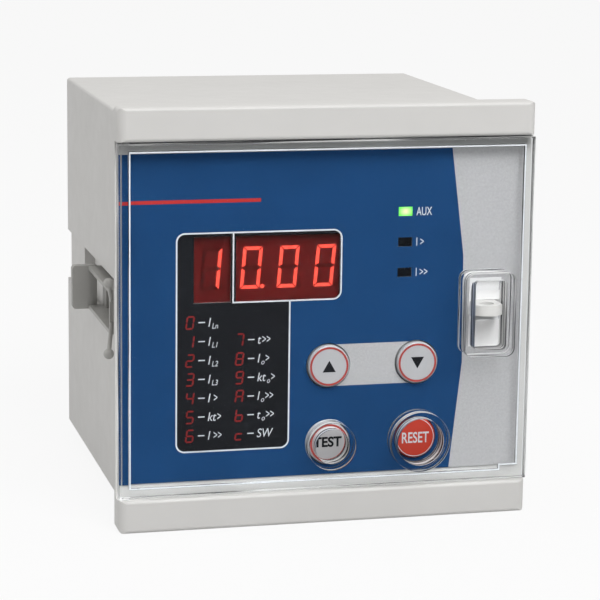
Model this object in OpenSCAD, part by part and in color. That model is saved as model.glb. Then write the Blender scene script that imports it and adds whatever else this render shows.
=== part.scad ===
// Panel-mounted protection relay: square front with a clear hinged cover, box case and side clamps.
// X runs to the right, Y to the rear and Z up. The panel face of the flange lies on Y = 0.

/* [Front flange] */
// Width and height of the square flange
front_w = 96; // [95:0.5:104]
// Distance from the panel face to the front of the bars
flange_t = 6; // [5.8:0.1:7]
// Height of the bar above the cover and of the bar below it
bar_h = 7.6; // [7:0.1:9]
// Distance from the panel face to the front of the floor between the bars
rim_t = 1.6; // [1.5:0.1:1.8]
// Thickness of the floor behind the panel face
floor_back = 0.4; // [0.3:0.1:0.6]
// Rounding of the upright front edges of the bars
bar_end_r = 2; // [1:0.1:2.2]
// Rounding of the long front edges of the bars
bar_edge_r = 0.8; // [0.4:0.1:1.2]
// Rounding of the flange's corners seen from the front
corner_r = 1.2; // [0.6:0.1:1.6]

/* [Case] */
// Width and height of the case
case_w = 90; // [89:0.5:91]
// Length of the case behind the panel face
case_d = 88; // [84:1:100]
// Wall thickness of the case
case_wall = 2.2; // [1.8:0.1:2.6]
// Rounding of the long edges of the case
case_edge_r = 0.8; // [0.4:0.1:1.5]
// Depth of the groove that the front of the case sits in
seat_d = 0.8; // [0.5:0.1:0.9]
// Gap between the case wall and the sides of its groove
seat_gap = 0.15; // [0.1:0.05:0.25]
// Length of the spigot that reaches into the case
spigot_l = 3.2; // [2.6:0.1:3.4]
// Wall thickness of the spigot
spigot_t = 1.6; // [1.2:0.1:2]

/* [Cover] */
// Gap between the cover and the bars
cover_gap = 0.4; // [0.3:0.05:0.6]
// Gap between the rear of the cover and the fascia
cover_back_gap = 0.3; // [0.25:0.05:0.4]
// Distance of the cover's upright edges from the flange's edges
cover_inset = 0; // [0:0.1:0.4]
// Thickness of the cover's front plate
cover_plate_t = 1.8; // [1.4:0.1:2]
// Thickness of the cover's edge walls
cover_wall = 1.8; // [1.4:0.1:2.2]
// Thickness of the cover's wall on the hinge side
hinge_wall = 2.6; // [2.4:0.1:3]
// Rounding of the cover's front edges
cover_edge_r = 0.6; // [0.3:0.1:0.9]
// Width of the thick corner by which the cover is lifted
lift_w = 4.2; // [3.6:0.1:5]
// Height of the thick corner by which the cover is lifted
lift_h = 1.2; // [0.8:0.1:1.6]
// Radius of the hinge pins
pin_r = 1; // [0.8:0.05:1.1]
// Length of each hinge pin
pin_l = 2.6; // [2:0.1:3.4]
// Radial running clearance of the hinge pins
pin_clear = 0.05; // [0.03:0.01:0.08]
// Gap between the end of a hinge pin and the bottom of its bore
pin_end_gap = 0.4; // [0.3:0.05:0.6]

/* [Cover openings] */
// Bore of the collar around the reset key
reset_bore_d = 11; // [10.4:0.1:11.4]
// Bore of the collar around the test key
test_bore_d = 8.1; // [7.6:0.1:8.6]
// Wall thickness of the collars
collar_wall = 1.5; // [1.2:0.1:1.7]
// Height of the collars in front of the cover
collar_proud = 1.8; // [1:0.1:3]
// Gap between the rear of the collars and the key tops
collar_gap = 0.4; // [0.3:0.05:0.6]
// Width of the seal boss
boss_w = 11.8; // [11.4:0.1:13]
// Height of the seal boss
boss_h = 19.4; // [19:0.1:21]
// Height of the seal boss in front of the cover
boss_proud = 3.5; // [3:0.1:4.5]
// Corner rounding of the seal boss
boss_r = 2; // [1:0.1:2.4]
// Width of the pocket in the boss
pocket_w = 7.6; // [7.4:0.1:8.4]
// Height of the pocket in the boss
pocket_h = 16; // [15:0.1:16.4]
// Thickness of the wall at the bottom of the pocket
pocket_wall = 1.4; // [1.2:0.1:1.5]
// Depth of the pocket's bottom behind the front of the cover
pocket_sink = 2; // [1.8:0.1:2.2]
// Radius of the hollow at the upper end of the pocket
pocket_scoop_r = 4; // [3:0.1:4.4]
// Height of the rib across the pocket below the seal tab
pocket_rib_h = 0.6; // [0.4:0.1:0.6]
// Width of the rib across the pocket below the seal tab
pocket_rib_w = 1.2; // [0.8:0.1:1.6]
// Gap around the seal tab where it passes through the cover
tab_slot_gap = 0.5; // [0.4:0.05:0.6]

/* [Seal tab] */
// Distance of the seal tab's centre from the inside of the case wall
tab_edge = 5.6; // [5.4:0.1:6.6]
// Height of the seal tab above the centre of the front
tab_z = 0.7; // [0:0.1:1.2]
// Height of the seal boss's centre above the centre of the front
boss_z = -0.3; // [-0.6:0.1:0.2]
// Width of the seal tab
tab_w = 6.4; // [6:0.1:6.6]
// Thickness of the seal tab
tab_t = 2.4; // [2:0.1:2.8]
// Radius of the seal tab's front edge seen from above
tab_tip_r = 4.2; // [4:0.1:5]
// Radius of the eye for the sealing wire
eye_r = 1.7; // [1.4:0.05:1.7]
// Material between the eye and the tip of the tab
eye_wall = 1.4; // [1.2:0.1:1.6]
// Gap between the eye and the bottom of the cover's pocket
eye_gap = 0.4; // [0.35:0.05:0.6]
// Gap around the seal tab where it passes through the floor
tab_gap = 0.1; // [0.05:0.05:0.2]
// Height that the tab's foot stands out above and below
tab_foot = 1.6; // [1.2:0.1:2.2]
// Thickness of the tab's foot
tab_foot_t = 1.5; // [1:0.1:2]

/* [Fascia] */
// Thickness of the fascia film
overlay_t = 0.3; // [0.2:0.05:0.35]
// Distance of the fascia's upright edges from the flange's edges
overlay_inset = 1.4; // [1.2:0.1:2]
// Gap between the fascia and the bars
overlay_gap = 3; // [2.6:0.1:3.4]

/* [Display] */
// Distance of the digits' centre from the flange's left edge
display_edge = 34.85; // [34.6:0.05:35]
// Distance of the digits' centre below the upper bar
display_drop = 29.3; // [28.6:0.1:30]
// Width of one digit module
digit_pitch = 8.5; // [8.3:0.05:8.6]
// Extra space between the first digit and the others
first_space = 0.8; // [0.6:0.1:1]
// Height of one digit module
digit_module_h = 15.4; // [15.2:0.1:15.6]
// Gap between neighbouring digit modules
digit_gap = 0.1; // [0.05:0.05:0.2]
// Height of a lit digit
digit_h = 9.6; // [8.8:0.1:10.2]
// Width of a lit digit
digit_w = 4.5; // [4.3:0.1:4.9]
// Width of a digit's segments
segment_w = 0.8; // [0.7:0.1:1]
// Gap between neighbouring segments
segment_gap = 0.15; // [0.1:0.05:0.2]
// Slant of the digits in degrees
digit_slant = 5; // [4:1:8]
// Depth of the segments in the face of the module
segment_t = 0.4; // [0.3:0.1:0.6]
// Diameter of the decimal points
point_d = 1; // [0.9:0.1:1.2]
// Thickness of the tinted filter
filter_t = 1; // [0.8:0.1:1.2]
// Height of the clear window above the digits
window_h = 15; // [14.6:0.1:15.1]
// Width of the printed bar between the windows
window_bar = 1.1; // [0.8:0.1:1.4]
// Distance of the printed bar to the left of the second digit's edge
window_bar_shift = 0.1; // [0:0.05:0.3]
// Width that the left window stops short of the first digit's edge
window_lead = 0.15; // [0:0.05:0.4]
// Width that the right window stops short of the last digit's edge
window_trim = 0.95; // [0.8:0.05:1.1]
// Width that the digit modules' face reaches past the outer digits
face_edge = 0.4; // [0.3:0.1:0.8]
// Width that the filter reaches past the digit modules on each side
filter_edge = 0.9; // [0.7:0.1:1.2]
// Gap around inserted display pieces
display_gap = 0.1; // [0.05:0.05:0.15]

/* [Indicators] */
// Distance of the indicators' centre from the flange's right edge
led_edge = 29.5; // [29:0.1:30]
// Distance of the middle indicator below the upper bar
led_drop = 24.3; // [23.8:0.1:24.8]
// Spacing of the indicators
led_pitch = 7; // [6.5:0.1:7.5]
// Width of an indicator
led_w = 3.1; // [2.6:0.1:3.4]
// Height of an indicator
led_h = 1.9; // [1.4:0.1:2]
// Gap around an indicator
led_gap = 0.1; // [0.05:0.05:0.2]
// Width of the foot at the rear of an indicator
led_foot = 0.8; // [0.5:0.1:1.2]

/* [Keys] */
// Distance of the key group's centre from the flange's right edge
keys_edge = 36.7; // [36.4:0.1:37]
// Distance of the lower key row above the lower bar
keys_rise = 10.7; // [10.4:0.1:11]
// Distance between the key columns
key_pitch_x = 20.9; // [20.5:0.1:21.3]
// Distance between the key rows
key_pitch_z = 17.8; // [17.5:0.1:18]
// Diameter of a key cap
key_d = 9.7; // [9.3:0.1:9.9]
// Height of a key cap in front of the fascia
key_proud = 1.1; // [0.9:0.1:1.2]
// Rounding of a key cap's front edge
key_edge_r = 0.6; // [0.4:0.1:0.7]
// Radial gap around a key cap
key_gap = 0.3; // [0.2:0.05:0.35]
// Width of the rim that keeps a key in its hole
key_rim = 0.9; // [0.7:0.1:1.1]
// Thickness of the key's rim
key_rim_t = 1; // [0.8:0.1:1.2]
// Gap between a resting key's rim and the floor
key_rest_gap = 0.1; // [0.05:0.05:0.2]
// Travel of a key
key_travel = 0.6; // [0.4:0.1:0.8]
// Radius of a key's stem
stem_r = 1.5; // [1.3:0.1:1.6]
// Radial running clearance of the stem in its switch
stem_clear = 0.06; // [0.04:0.01:0.08]
// Length of stem inside the switch
stem_in = 1.4; // [1:0.1:1.6]
// Width of a key switch
switch_w = 6; // [5.6:0.1:6.4]
// Height of a key switch above its board
switch_h = 3.6; // [3.4:0.1:3.8]

/* [Side clamps] */
// Height of the clamps' centre above the centre of the case
clamp_z = -1.3; // [-2:0.1:-0.8]
// Height of the channel along the case side
channel_h = 12.6; // [12.4:0.1:13.6]
// Depth of the channel along the case side
channel_d = 0.9; // [0.6:0.1:1]
// Front end of the pocket behind the panel face
slot_y0 = 6; // [5.6:0.1:7]
// Rear end of the pocket behind the panel face
slot_y1 = 66; // [64:0.5:68]
// Depth of the pocket in the case side
slot_d = 3.4; // [3.3:0.1:3.8]
// Depth of the undercut above and below the pocket
undercut_h = 1.2; // [1:0.1:1.5]
// Thickness of the undercut
undercut_t = 1.5; // [1.4:0.1:1.6]
// Wall thickness around the pocket inside the case
slot_wall = 1.5; // [1.2:0.1:1.8]
// Gap around the clamp in its pocket
clamp_gap = 0.2; // [0.15:0.05:0.3]
// Gap between the clamp's body and the lower edge of the channel
clamp_low_gap = 0.15; // [0.15:0.05:0.3]
// Gap between the clamp's body and the upper edge of the channel
clamp_top_gap = 2.05; // [1.6:0.05:2.2]
// Wall thickness of the clamp
clamp_wall = 0.9; // [0.8:0.1:1.2]
// Front of the clamp's cross wall behind the panel face
clamp_y0 = 15; // [14:0.5:18]
// Length of the clamp's body
clamp_l = 31; // [28:0.5:32]
// Height of the clamp's body outside the case
clamp_proud = 1.4; // [1.2:0.1:2]
// Height of the thumb plate outside the case
thumb_proud = 5.3; // [4.4:0.1:5.6]
// Thickness of the thumb plate
thumb_t = 2.2; // [1.8:0.1:2.6]
// Radius of the clamp's beads
bead_r = 1.2; // [1:0.1:1.3]
// Distance of the beads' centres behind the panel face
bead_y = 4.6; // [4.4:0.1:6]
// Distance of the beads' centres outside the case
bead_proud = 3.4; // [2.8:0.1:3.6]
// Height of the beads' centre above the clamp's centre
bead_rise = 0.7; // [0:0.1:1]
// Distance between the beads
bead_span = 16.2; // [15:0.1:17.6]
// Thickness of the clamp's spring legs
leg_d = 1; // [0.8:0.1:1.2]
// Length of each guide lug
lug_l = 5; // [4:0.5:6]

/* [Boards] */
// Front of the display board behind the panel face
board_y = 8; // [7.8:0.1:8.6]
// Thickness of the circuit boards
board_t = 1.6; // [1.2:0.1:2]
// Gap between the display board and the backs of the clamp pockets
board_margin = 0.3; // [0.2:0.1:0.6]
// Distance of the board screws from the board's edges
screw_inset = 4; // [3.6:0.1:4.4]
// Radius of the board screws
screw_r = 1; // [0.8:0.1:1.2]
// Radius of the board screws' heads
screw_head_r = 2.2; // [1.9:0.1:2.4]
// Height of the board screws' heads
screw_head_h = 1.5; // [1.2:0.1:1.8]
// Length of screw in its post
screw_grip = 5; // [4:0.5:6]
// Radial gap around the screws
screw_gap = 0.05; // [0.03:0.01:0.08]
// Wall thickness of the screw posts
post_wall = 1.8; // [1.4:0.1:2]
// Gap between the display board and the deck boards
deck_gap = 4; // [3.6:0.1:5]
// Depth of the guide rails for the deck boards
rail_d = 2.2; // [1.8:0.1:2.6]
// Thickness of the guide rails
rail_t = 1.4; // [1.2:0.1:1.8]
// Gap between a deck board and its rails
rail_gap = 0.15; // [0.1:0.05:0.2]

/* [Board components] */
// Width of the processor chip
chip_w = 14; // [12:0.5:16]
// Thickness of the processor chip
chip_h = 1.6; // [1.2:0.1:2]
// Spacing of the processor chip's leads
lead_pitch = 1.4; // [1.2:0.1:1.45]
// Length of the processor chip's leads
lead_l = 1.2; // [0.8:0.1:1.6]
// Thickness of the processor chip's leads
lead_t = 0.5; // [0.3:0.1:0.7]
// Width of the connectors behind the display board
plug_w = 34; // [28:1:40]
// Height of the connectors behind the display board
plug_h = 6; // [5:0.5:7]
// Length of the connectors along the deck boards
plug_l = 12; // [8:0.5:14]
// Distance of the transformer from the backs of the clamp pockets
core_edge = 3; // [2:0.5:4]
// Distance of the transformer behind the front of its board
core_y = 34; // [33:0.5:35]
// Width of the transformer's core
core_w = 34; // [32:0.5:35]
// Length of the transformer's core stack
core_l = 12; // [10:0.5:14]
// Height of the transformer's core
core_h = 28; // [26:0.5:30]
// Width of the transformer's coil
coil_w = 22; // [20:0.5:24]
// Length of the transformer's coil
coil_l = 28; // [26:0.5:30]
// Height of the transformer's coil
coil_h = 20; // [18:0.5:22]
// Height of the transformer's foot
foot_h = 3; // [2:0.5:3.5]
// Radius of the smoothing capacitors
can_r = 6.3; // [5:0.1:7]
// Height of the smoothing capacitors
can_h = 22; // [18:0.5:26]
// Centre of the first smoothing capacitor across the case
can_x = 10; // [9:0.5:12]
// Spacing of the smoothing capacitors
can_pitch = 15; // [14.5:0.5:17]
// Distance of the capacitors behind the front of their board
can_y = 28; // [26:0.5:30]
// Width of an output relay
relay_w = 12.6; // [11:0.1:13]
// Length of an output relay
relay_l = 20; // [18:0.5:21]
// Height of an output relay
relay_h = 15; // [13:0.5:17]
// Centre of the first output relay across the case
relay_x = 1; // [0:0.5:2]
// Spacing of the output relays
relay_pitch = 15; // [13.5:0.5:15.5]
// Gap between neighbouring current transformers
ring_gap = 3; // [2:0.1:4]
// Distance of the outer current transformers from the backs of the clamp pockets
ring_edge = 3.3; // [2:0.1:4]
// Radius of the hole in a current transformer
ring_hole_r = 3; // [2:0.1:4]
// Length of a current transformer
ring_w = 12; // [10:0.5:14]
// Distance of the current transformers in front of the rear of their board
ring_y = 20; // [18:0.5:24]
// Height of the base under a current transformer
ring_base_h = 3; // [2:0.5:4]

/* [Terminals] */
// Spacing of the terminals
way_pitch = 7.62; // [7.2:0.02:7.64]
// Least distance between a terminal block and the inside of the case wall
block_margin = 3.4; // [3:0.1:4]
// Height of a terminal block
block_h = 14; // [13.4:0.1:14.4]
// Distance of a terminal block from the inside of the case's top or bottom
block_clear = 2; // [1.6:0.1:2.6]
// Length of a terminal block behind the case
block_proud = 9; // [7:0.5:11]
// Length of a terminal block inside the case
block_in = 14; // [12:0.5:16]
// Gap between a terminal block and its window
block_gap = 0.2; // [0.15:0.05:0.3]
// Width and height of a wire entry
entry_w = 3.6; // [3.2:0.1:3.8]
// Depth of a wire entry
entry_d = 9; // [8:0.5:10]
// Distance of the metal cage behind the mouth of its wire entry
cage_sink = 2; // [1.5:0.1:3]
// Wall thickness of the metal cage
cage_wall = 0.5; // [0.4:0.05:0.7]
// Diameter of a screw's access hole
access_d = 3.8; // [3.6:0.05:3.9]
// Depth of a screw's access hole
access_d_in = 3; // [2:0.1:4]
// Gap between a terminal screw's head and its hole
access_gap = 0.15; // [0.1:0.05:0.2]
// Depth of the grooves between the ways
groove_d = 0.6; // [0.4:0.1:0.8]
// Width of the grooves between the ways
groove_w = 0.6; // [0.4:0.1:0.8]

/* [Hidden] */
$fn = 48;
// Length by which a cut runs past a face
cut = 1;
// Length by which joined shapes run into each other
lap = 0.2;

half = front_w / 2;
bar_in = half - bar_h;
fascia_y = -(rim_t + overlay_t);
front_y = -flange_t;

case_in = case_w - 2 * case_wall;
spigot_w = case_in - 2 * seat_gap;

cover_d = flange_t + fascia_y - cover_back_gap;
hinge_r = cover_d / 2;
hinge_x = -half + cover_inset + hinge_r;
hinge_y = front_y + hinge_r;
hinge_in_x = hinge_x - hinge_r + hinge_wall;
cover_right = half - cover_inset;
cover_h = 2 * (bar_in - cover_gap);
pin_end = cover_gap + pin_l;
pin_bore = pin_l + pin_end_gap;
collar_y1 = fascia_y - key_proud - collar_gap;
pocket_y = front_y + pocket_sink;
tab_x = case_in / 2 - tab_edge;
eye_y = pocket_y - eye_gap - eye_r;
tab_tip_y = eye_y - eye_r - eye_wall;

display_x = -half + display_edge;
display_z = bar_in - display_drop;
digits_w = 4 * digit_pitch + first_space;
digits_x = display_x - digits_w / 2;
face_w = digits_w + 2 * face_edge;
filter_w = face_w + 2 * filter_edge;
filter_h = window_h + 2 * filter_edge;
face_y = -rim_t + filter_t + display_gap;

led_x = half - led_edge;
led_z = bar_in - led_drop;

key_hole_d = key_d + 2 * key_gap;
key_top_y = fascia_y - key_proud;
rim_y = floor_back + key_rest_gap;
switch_y = board_y - switch_h;
key_left = half - keys_edge - key_pitch_x / 2;
key_right = key_left + key_pitch_x;
key_low = keys_rise - bar_in;
keys_z = key_low + key_pitch_z;

board_w = case_w - 2 * (slot_d + slot_wall + board_margin);
post_x = board_w / 2 - screw_inset;
post_r = screw_r + post_wall;
deck_y0 = board_y + board_t + deck_gap;
deck_y1 = case_d - case_wall - block_gap;
deck_w = case_in - 2 * rail_gap;
deck_z = case_in / 2 - block_clear - block_h - board_t / 2;
deck_face = deck_z - board_t / 2;
core_x = core_edge + core_w / 2 - board_w / 2;
ring_r = (board_w - 2 * ring_edge - 3 * ring_gap) / 8;
ring_pitch = 2 * ring_r + ring_gap;

ways = floor((case_in - 2 * block_margin - groove_w) / way_pitch);
block_w = ways * way_pitch + groove_w;
block_z0 = deck_z + board_t / 2;
block_y0 = case_d - case_wall - block_in;
block_y1 = case_d + block_proud;
entry_z = block_z0 + block_h * 0.68;
access_z = block_z0 + block_h * 0.28;

side_x = -case_w / 2;
slot_floor_x = side_x + slot_d;
clamp_in_x = slot_floor_x - clamp_gap;
clamp_out_x = side_x - clamp_proud;
clamp_y1 = clamp_y0 + clamp_l;
leg_x = clamp_out_x + leg_d / 2;
clamp_h = channel_h - clamp_low_gap - clamp_top_gap;
channel_rise = (clamp_top_gap - clamp_low_gap) / 2;
channel_z = clamp_z + channel_rise;

// Draws a flat shape given in X and Z as a solid from y0 to y1
module along_y(y0, y1) {
  translate([0, y1, 0])
    rotate([90, 0, 0])
      linear_extrude(y1 - y0)
        children();
}

// Draws a flat shape given in Y and Z as a solid from x0 to x1
module along_x(x0, x1) {
  translate([x0, 0, 0])
    rotate([90, 0, 90])
      linear_extrude(x1 - x0)
        children();
}

// Draws a flat shape given in X and Y as a solid from z0 to z1
module along_z(z0, z1) {
  translate([0, 0, z0])
    linear_extrude(z1 - z0)
      children();
}

// Rectangle round the origin with four round corners
module round_rect(w, h, r) {
  square([w - 2 * r, h], center = true);
  square([w, h - 2 * r], center = true);
  for (sx = [-1, 1])
    for (sy = [-1, 1])
      translate([sx * (w / 2 - r), sy * (h / 2 - r)])
        circle(r);
}

// Rectangle that reaches from x = 0 to x = -d, with round corners at -d
module nose_rect(d, h, r) {
  translate([-(d - r), -h / 2])
    square([d - r, h]);
  translate([-d, -h / 2 + r])
    square([d, h - 2 * r]);
  for (s = [-1, 1])
    translate([r - d, s * (h / 2 - r)])
      circle(r);
}

// Ring between two round rectangles
module rect_ring(outer, inner, r) {
  difference() {
    round_rect(outer, outer, r);
    round_rect(inner, inner, r);
  }
}

module at_keys() {
  for (x = [key_left, key_right])
    for (z = [keys_z, key_low])
      translate([x, 0, z])
        children();
}

module at_leds() {
  for (i = [-1 : 1])
    translate([led_x, 0, led_z + i * led_pitch])
      children();
}

module at_posts() {
  for (x = [-post_x, post_x])
    for (z = [-post_x, post_x])
      translate([x, 0, z])
        children();
}

// Turns a shape with its axis on Z so that the axis points to the rear
module to_rear() {
  rotate([-90, 0, 0])
    children();
}

module bezel_bar(side) {
  intersection() {
    along_x(-half, half)
      translate([0, side * (half - bar_h / 2)])
        nose_rect(flange_t, bar_h, bar_edge_r);
    along_z(-half, half)
      rotate(90)
        nose_rect(flange_t, front_w, bar_end_r);
    along_y(front_y, 0)
      round_rect(front_w, front_w, corner_r);
  }
}

module bezel_body() {
  along_y(-rim_t, 0)
    round_rect(front_w, front_w, corner_r);
  along_y(-rim_t / 2, floor_back)
    round_rect(spigot_w, spigot_w, case_edge_r);
  along_y(-rim_t / 2, spigot_l)
    rect_ring(spigot_w, spigot_w - 2 * spigot_t, case_edge_r);
  bezel_bar(1);
  bezel_bar(-1);
  at_posts()
    to_rear()
      cylinder(r = post_r, h = board_y);
}

module front_bezel() {
  color("lightgray")
    difference() {
      bezel_body();
      along_y(-seat_d, cut)
        difference() {
          round_rect(case_w + 2 * seat_gap, case_w + 2 * seat_gap, case_edge_r + seat_gap);
          round_rect(spigot_w, spigot_w, case_edge_r);
        }
      at_keys()
        translate([0, -flange_t, 0])
          to_rear()
            cylinder(d = key_hole_d, h = flange_t + floor_back + cut);
      at_leds()
        along_y(-flange_t, floor_back + cut)
          square([led_w + 2 * led_gap, led_h + 2 * led_gap], center = true);
      translate([tab_x, 0, tab_z])
        along_y(-flange_t, floor_back + cut)
          square([tab_w + 2 * tab_gap, tab_t + 2 * tab_gap], center = true);
      translate([display_x, 0, display_z]) {
        along_y(-flange_t, floor_back + cut)
          square([face_w + 2 * display_gap, digit_module_h + 2 * display_gap], center = true);
        along_y(-flange_t, filter_t - rim_t)
          square([filter_w + 2 * display_gap, filter_h + 2 * display_gap], center = true);
      }
      at_posts()
        translate([0, board_y - screw_grip - cut, 0])
          to_rear()
            cylinder(r = screw_r + screw_gap, h = screw_grip + 2 * cut);
      for (s = [-1, 1])
        translate([hinge_x, hinge_y, s * (bar_in + (pin_bore - cut) / 2)])
          cylinder(r = pin_r + pin_clear, h = pin_bore + cut, center = true);
    }
}

// Solid that backs the clamp's pocket inside the case wall
module slot_housing() {
  translate([0, 0, channel_z])
    along_z(-(channel_h / 2 + undercut_h + slot_wall), channel_h / 2 + undercut_h + slot_wall)
      translate([side_x + case_wall - lap, slot_y0 - slot_wall])
        square([slot_d + slot_wall - case_wall + lap, slot_y1 - slot_y0 + 2 * slot_wall]);
}

module slot_cuts() {
  translate([0, 0, channel_z]) {
    along_z(-channel_h / 2, channel_h / 2)
      translate([side_x - cut, slot_y0])
        square([channel_d + cut, case_d - slot_y0 + cut]);
    along_z(-channel_h / 2, channel_h / 2)
      translate([side_x - cut, slot_y0])
        square([slot_d + cut, slot_y1 - slot_y0]);
    along_z(-channel_h / 2 - undercut_h, channel_h / 2 + undercut_h)
      translate([slot_floor_x - undercut_t, slot_y0])
        square([undercut_t, slot_y1 - slot_y0]);
  }
}

// Pair of rails on one side wall that hold a deck board by its edge
module deck_rails(side) {
  for (s = [-1, 1])
    translate([0, 0, side * deck_z + s * (board_t / 2 + rail_gap + rail_t / 2)])
      along_z(-rail_t / 2, rail_t / 2)
        translate([side_x + case_wall - lap, deck_y0])
          square([rail_d + lap, deck_y1 - block_in - deck_y0]);
}

module rear_case() {
  color("gainsboro")
    difference() {
      union() {
        difference() {
          along_y(-seat_d, case_d)
            round_rect(case_w, case_w, case_edge_r);
          along_y(-seat_d - cut, case_d - case_wall)
            round_rect(case_in, case_in, case_edge_r);
        }
        for (m = [0, 1])
          mirror([m, 0, 0]) {
            slot_housing();
            deck_rails(1);
            deck_rails(-1);
          }
      }
      for (m = [0, 1])
        mirror([m, 0, 0])
          slot_cuts();
      for (s = [-1, 1])
        along_y(case_d - case_wall - cut, case_d + cut)
          translate([0, s * (block_z0 + block_h / 2)])
            square([block_w + 2 * block_gap, block_h + 2 * block_gap], center = true);
    }
}

module fascia_overlay() {
  bar_x = digits_x + digit_pitch + first_space - window_bar_shift;
  color("steelblue")
    along_y(fascia_y, -rim_t)
      difference() {
        square([front_w - 2 * overlay_inset, 2 * (bar_in - overlay_gap)], center = true);
        translate([digits_x + window_lead, display_z - window_h / 2])
          square([bar_x - window_bar / 2 - digits_x - window_lead, window_h]);
        translate([bar_x + window_bar / 2, display_z - window_h / 2])
          square([digits_x + digits_w - window_trim - bar_x - window_bar / 2, window_h]);
        for (x = [key_left, key_right])
          for (z = [keys_z, key_low])
            translate([x, z])
              circle(d = key_hole_d);
        for (i = [-1 : 1])
          translate([led_x, led_z + i * led_pitch])
            square([led_w + 2 * led_gap, led_h + 2 * led_gap], center = true);
        translate([tab_x, tab_z])
          square([tab_w + 2 * tab_gap, tab_t + 2 * tab_gap], center = true);
      }
}

module display_filter() {
  color("maroon")
    translate([display_x, 0, display_z])
      along_y(-rim_t, filter_t - rim_t)
        square([filter_w, filter_h], center = true);
}

// Point of a digit, moved sideways with its height
function slanted(x, z) = [x + z * tan(digit_slant), z];

// Bar along the top or the bottom of a digit, mitred at both ends
module end_segment(side) {
  x = digit_w / 2 - segment_gap;
  z = digit_h / 2;
  polygon([
    slanted(-x, side * z), slanted(x, side * z),
    slanted(x - segment_w, side * (z - segment_w)), slanted(segment_w - x, side * (z - segment_w))
  ]);
}

// Bar across the middle of a digit, pointed at both ends
module middle_segment() {
  tip = digit_w / 2 - segment_w / 2 - segment_gap;
  side = segment_w / 2;
  polygon([
    slanted(-tip, 0), slanted(side - tip, side), slanted(tip - side, side),
    slanted(tip, 0), slanted(tip - side, -side), slanted(side - tip, -side)
  ]);
}

// Bar up the left or the right of a digit, above its middle or below it
module upright_segment(side, end) {
  x = digit_w / 2;
  z = digit_h / 2 - segment_gap;
  polygon([
    slanted(side * x, end * segment_gap), slanted(side * x, end * z),
    slanted(side * (x - segment_w), end * (z - segment_w)),
    slanted(side * (x - segment_w), end * (segment_w / 2 + segment_gap))
  ]);
}

// Segments run from 0 at the top clockwise to 5, with 6 in the middle and 7 for the decimal point
module segment(i) {
  if (i == 0)
    end_segment(1);
  if (i == 1)
    upright_segment(1, 1);
  if (i == 2)
    upright_segment(1, -1);
  if (i == 3)
    end_segment(-1);
  if (i == 4)
    upright_segment(-1, -1);
  if (i == 5)
    upright_segment(-1, 1);
  if (i == 6)
    middle_segment();
  if (i == 7)
    translate(slanted(digit_w / 2 + segment_gap + point_d / 2, point_d / 2 - digit_h / 2))
      circle(d = point_d);
}

// Segments lit in each digit, which show 1, 0 with its point, 0 and 0
lit = [[1, 2], [0, 1, 2, 3, 4, 5, 7], [0, 1, 2, 3, 4, 5], [0, 1, 2, 3, 4, 5]];

module at_digit(i) {
  translate([digits_x + (i + 0.5) * digit_pitch + (i == 0 ? 0 : first_space), 0, display_z])
    children();
}

// Block of one digit, wider at both ends of the row and up to the second digit
module digit_block(i) {
  w = digit_pitch - digit_gap;
  before = i == 0 ? face_edge : 0;
  after = i == 0 ? first_space : i == 3 ? face_edge : 0;
  translate([-w / 2 - before, -digit_module_h / 2])
    square([w + before + after, digit_module_h]);
}

module digit_modules() {
  color("dimgray")
    for (i = [0 : 3])
      at_digit(i)
        difference() {
          along_y(face_y, board_y)
            digit_block(i);
          along_y(face_y - cut, face_y + segment_t)
            for (s = [0 : 7])
              segment(s);
        }
}

module lit_segments() {
  color("red")
    for (i = [0 : 3])
      at_digit(i)
        along_y(face_y, face_y + segment_t)
          for (s = lit[i])
            segment(s);
}

module unlit_segments() {
  color("darkred")
    for (i = [0 : 3])
      at_digit(i)
        along_y(face_y, face_y + segment_t)
          for (s = [0 : 7])
            if (len(search(s, lit[i])) == 0)
              segment(s);
}

module indicator(i) {
  foot_y = floor_back + lap;
  translate([led_x, 0, led_z + i * led_pitch]) {
    along_y(fascia_y, board_y)
      square([led_w, led_h], center = true);
    along_y(foot_y, board_y)
      square([led_w + 2 * led_foot, led_h + 2 * led_foot], center = true);
  }
}

module aux_led() {
  color("limegreen")
    indicator(1);
}

module start_led() {
  color("darkslategray")
    indicator(0);
}

module trip_led() {
  color("darkslategray")
    indicator(-1);
}

module seal_tab() {
  color("white")
    translate([tab_x, 0, tab_z])
      difference() {
        union() {
          along_z(-tab_t / 2, tab_t / 2)
            intersection() {
              translate([-tab_w / 2, tab_tip_y])
                square([tab_w, floor_back + lap - tab_tip_y]);
              union() {
                translate([0, tab_tip_y + tab_tip_r])
                  circle(tab_tip_r);
                translate([-tab_w / 2, tab_tip_y + tab_tip_r])
                  square([tab_w, floor_back + lap - tab_tip_y]);
              }
            }
          along_y(floor_back, floor_back + tab_foot_t)
            square([tab_w, tab_t + 2 * tab_foot], center = true);
        }
        translate([0, eye_y, 0])
          cylinder(r = eye_r, h = tab_t + 2 * cut, center = true);
      }
}

// Hinge-side wall of the cover, seen from above, with a round rear that turns clear of the fascia
module hinge_profile() {
  intersection() {
    union() {
      circle(hinge_r);
      intersection() {
        round_rect(2 * hinge_r, 2 * hinge_r, cover_edge_r);
        translate([-hinge_r, -hinge_r])
          square([2 * hinge_r, hinge_r]);
      }
    }
    translate([-hinge_r, -hinge_r])
      square([hinge_wall, 2 * hinge_r]);
  }
}

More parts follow.
